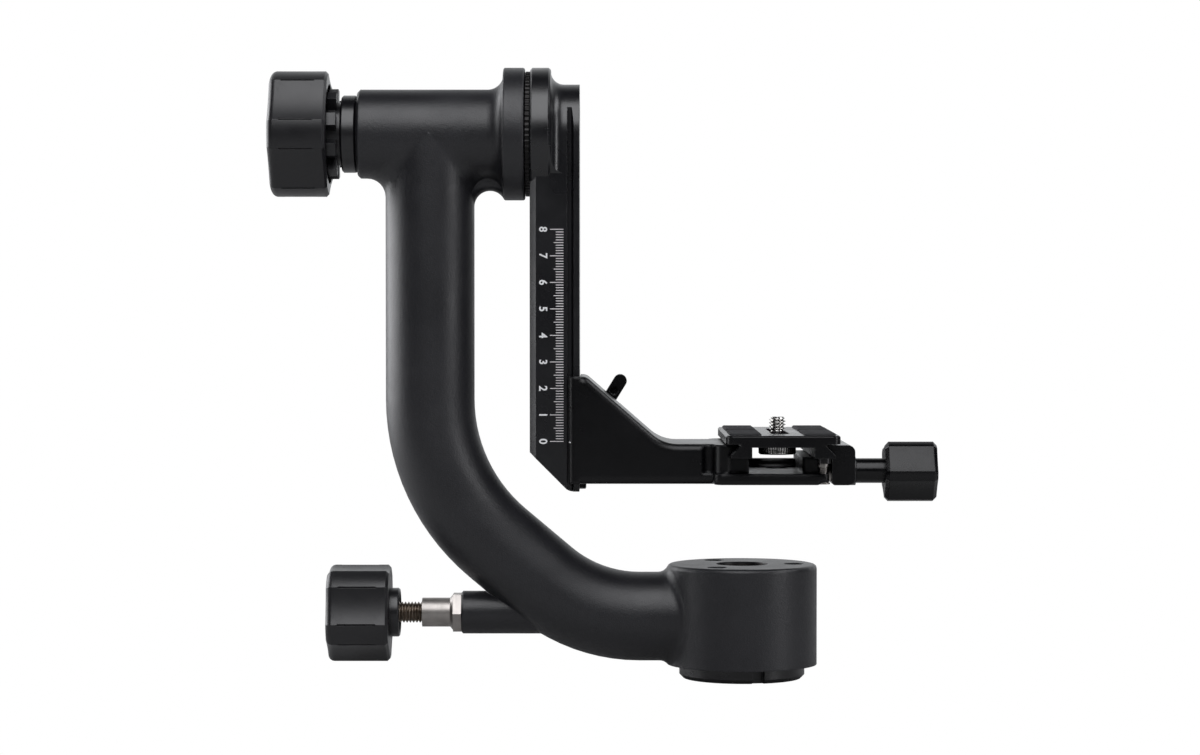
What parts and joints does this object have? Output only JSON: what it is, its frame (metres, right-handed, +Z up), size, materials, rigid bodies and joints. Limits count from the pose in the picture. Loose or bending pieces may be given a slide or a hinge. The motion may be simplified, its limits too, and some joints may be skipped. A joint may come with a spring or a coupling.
{
  "type": "gimbal tripod head",
  "caption": "Side-mount gimbal tripod head: tube arm panning on a base disc, tilting rail with a height scale, sliding lens bracket, dovetail plate clamp and lobed locking knobs.",
  "frame": {"origin": "centre of the base disc's underside, on the pan axis", "axes": "+Z up along the pan axis, +X from the arm towards the lens bracket (the tilt axis is parallel to X), -Y towards the side that carries the scale"},
  "size_m": [0.2542, 0.087, 0.2335],
  "materials": {
    "powder_black": "fine-grained satin powder coat",
    "anodised_black": "semi-gloss black anodised",
    "moulded_black": "satin moulded",
    "satin_steel": "satin",
    "dark_steel": "oiled dark",
    "bearing_steel": "polished",
    "spring_steel": "drawn wire",
    "bright_steel": "bright",
    "copper_nut": "satin",
    "pad_rubber": "matt ribbed",
    "bush_polymer": "matt"
  },
  "bodies": {
    "base": {"base_disc": "anodised_black", "tripod_thread_insert": "satin_steel", "pan_spindle": "satin_steel", "spindle_screws": "dark_steel", "lower_bearing_inner_ring": "bearing_steel", "upper_bearing_inner_ring": "bearing_steel", "bearing_washer": "satin_steel", "pan_retaining_nut": "copper_nut"},
    "arm": {"swing_arm": "powder_black", "tilt_flange": "powder_black", "bearing_carrier": "anodised_black", "carrier_cap_screws": "dark_steel", "lower_bearing_outer_ring": "bearing_steel", "upper_bearing_outer_ring": "bearing_steel", "lower_bearing_balls": "bearing_steel", "upper_bearing_balls": "bearing_steel", "pan_guide_sleeve": "satin_steel", "left_tilt_bush": "bush_polymer", "right_tilt_bush": "bush_polymer"},
    "pan_pad": {"pan_brake_pad": "bush_polymer"},
    "pan_knob": {"pan_lock_screw": "dark_steel", "pan_knob": "moulded_black", "pan_knob_collar": "anodised_black"},
    "swing": {"swing_rail": "anodised_black", "tilt_shaft": "satin_steel", "tilt_shaft_screws": "dark_steel", "tilt_friction_disc": "anodised_black", "rail_stop_screw": "dark_steel"},
    "tilt_collar": {"tilt_thrust_collar": "anodised_black"},
    "tilt_knob": {"tilt_knob_hub": "moulded_black", "tilt_knob_nut": "satin_steel", "tilt_knob": "moulded_black"},
    "bracket": {"lens_bracket": "anodised_black", "clamp_screw": "satin_steel", "jaw_guide_pins": "satin_steel", "jaw_springs": "spring_steel", "stop_pin_spring": "spring_steel"},
    "rear_claw": {"rear_claw": "anodised_black", "claw_guide_pins": "satin_steel"},
    "lever": {"clamp_lever": "anodised_black", "lever_screw": "dark_steel"},
    "jaw": {"clamp_jaw": "anodised_black", "clamp_washer": "anodised_black"},
    "clamp_knob": {"clamp_knob_sleeve": "anodised_black", "clamp_knob": "moulded_black"},
    "stop_pin": {"plate_stop_pin": "satin_steel"},
    "plate": {"quick_release_plate": "anodised_black", "plate_pads": "pad_rubber", "plate_stop_screws": "dark_steel"},
    "screw_washer": {"camera_screw_washer": "satin_steel"},
    "camera_screw": {"camera_screw": "bright_steel"}
  },
  "joints": [
    {"name": "pan", "type": "hinge", "parent": "base", "child": "arm", "pos_m": [0, 0, 0.02], "axis": [0, 0, 1], "continuous": true},
    {"name": "pan_pad_press", "type": "slide", "parent": "arm", "child": "pan_pad", "axis": [1, 0, 0], "range_m": [-0.0025, 0]},
    {"name": "pan_knob_turn", "type": "hinge", "parent": "pan_pad", "child": "pan_knob", "pos_m": [-0.1349, 0, 0.025], "axis": [1, 0, 0], "range_deg": [-724, 0]},
    {"name": "tilt", "type": "hinge", "parent": "arm", "child": "swing", "pos_m": [-0.1, 0, 0.2082], "axis": [1, 0, 0], "continuous": true},
    {"name": "tilt_collar_press", "type": "slide", "parent": "swing", "child": "tilt_collar", "axis": [1, 0, 0], "range_m": [-0.003, 0]},
    {"name": "tilt_knob_turn", "type": "hinge", "parent": "tilt_collar", "child": "tilt_knob", "pos_m": [-0.1579, 0, 0.2082], "axis": [1, 0, 0], "range_deg": [-724, 0]},
    {"name": "height_slide", "type": "slide", "parent": "swing", "child": "bracket", "axis": [0, 0, 1], "range_m": [0, 0.08]},
    {"name": "claw_release", "type": "slide", "parent": "bracket", "child": "rear_claw", "axis": [0, 1, 0], "range_m": [0, 0.000266]},
    {"name": "lever_turn", "type": "hinge", "parent": "rear_claw", "child": "lever", "pos_m": [-0.0584, 0.025, 0.0939], "axis": [0, 1, 0], "range_deg": [0, 121]},
    {"name": "jaw_slide", "type": "slide", "parent": "bracket", "child": "jaw", "axis": [1, 0, 0], "range_m": [0, 0.005], "deforming": ["jaw_springs"]},
    {"name": "clamp_knob_turn", "type": "hinge", "parent": "jaw", "child": "clamp_knob", "pos_m": [0.0544, 0, 0.0794], "axis": [1, 0, 0], "range_deg": [0, 1804]},
    {"name": "stop_pin_push", "type": "slide", "parent": "bracket", "child": "stop_pin", "axis": [0, 0, -1], "range_m": [0, 0.002], "stiffness_N_per_m": 300, "springref_m": -0.001, "deforming": ["stop_pin_spring"]},
    {"name": "plate_slide", "type": "slide", "parent": "bracket", "child": "plate", "axis": [0, 1, 0], "range_m": [-0.006, 0.006]},
    {"name": "camera_screw_slide", "type": "slide", "parent": "plate", "child": "screw_washer", "axis": [0, 1, 0], "range_m": [-0.02, 0.02]},
    {"name": "camera_screw_turn", "type": "hinge", "parent": "screw_washer", "child": "camera_screw", "pos_m": [0.0135, 0, 0.0895], "axis": [0, 0, 1], "continuous": true}
  ],
  "couplings": [
    {"joint": "pan_knob_turn", "follows": "pan_pad_press", "rad_per_m": 5026.5},
    {"joint": "tilt_knob_turn", "follows": "tilt_collar_press", "rad_per_m": 4188.8},
    {"joint": "lever_turn", "follows": "claw_release", "rad_per_m": 7854},
    {"joint": "clamp_knob_turn", "follows": "jaw_slide", "rad_per_m": 6283.2}
  ]
}
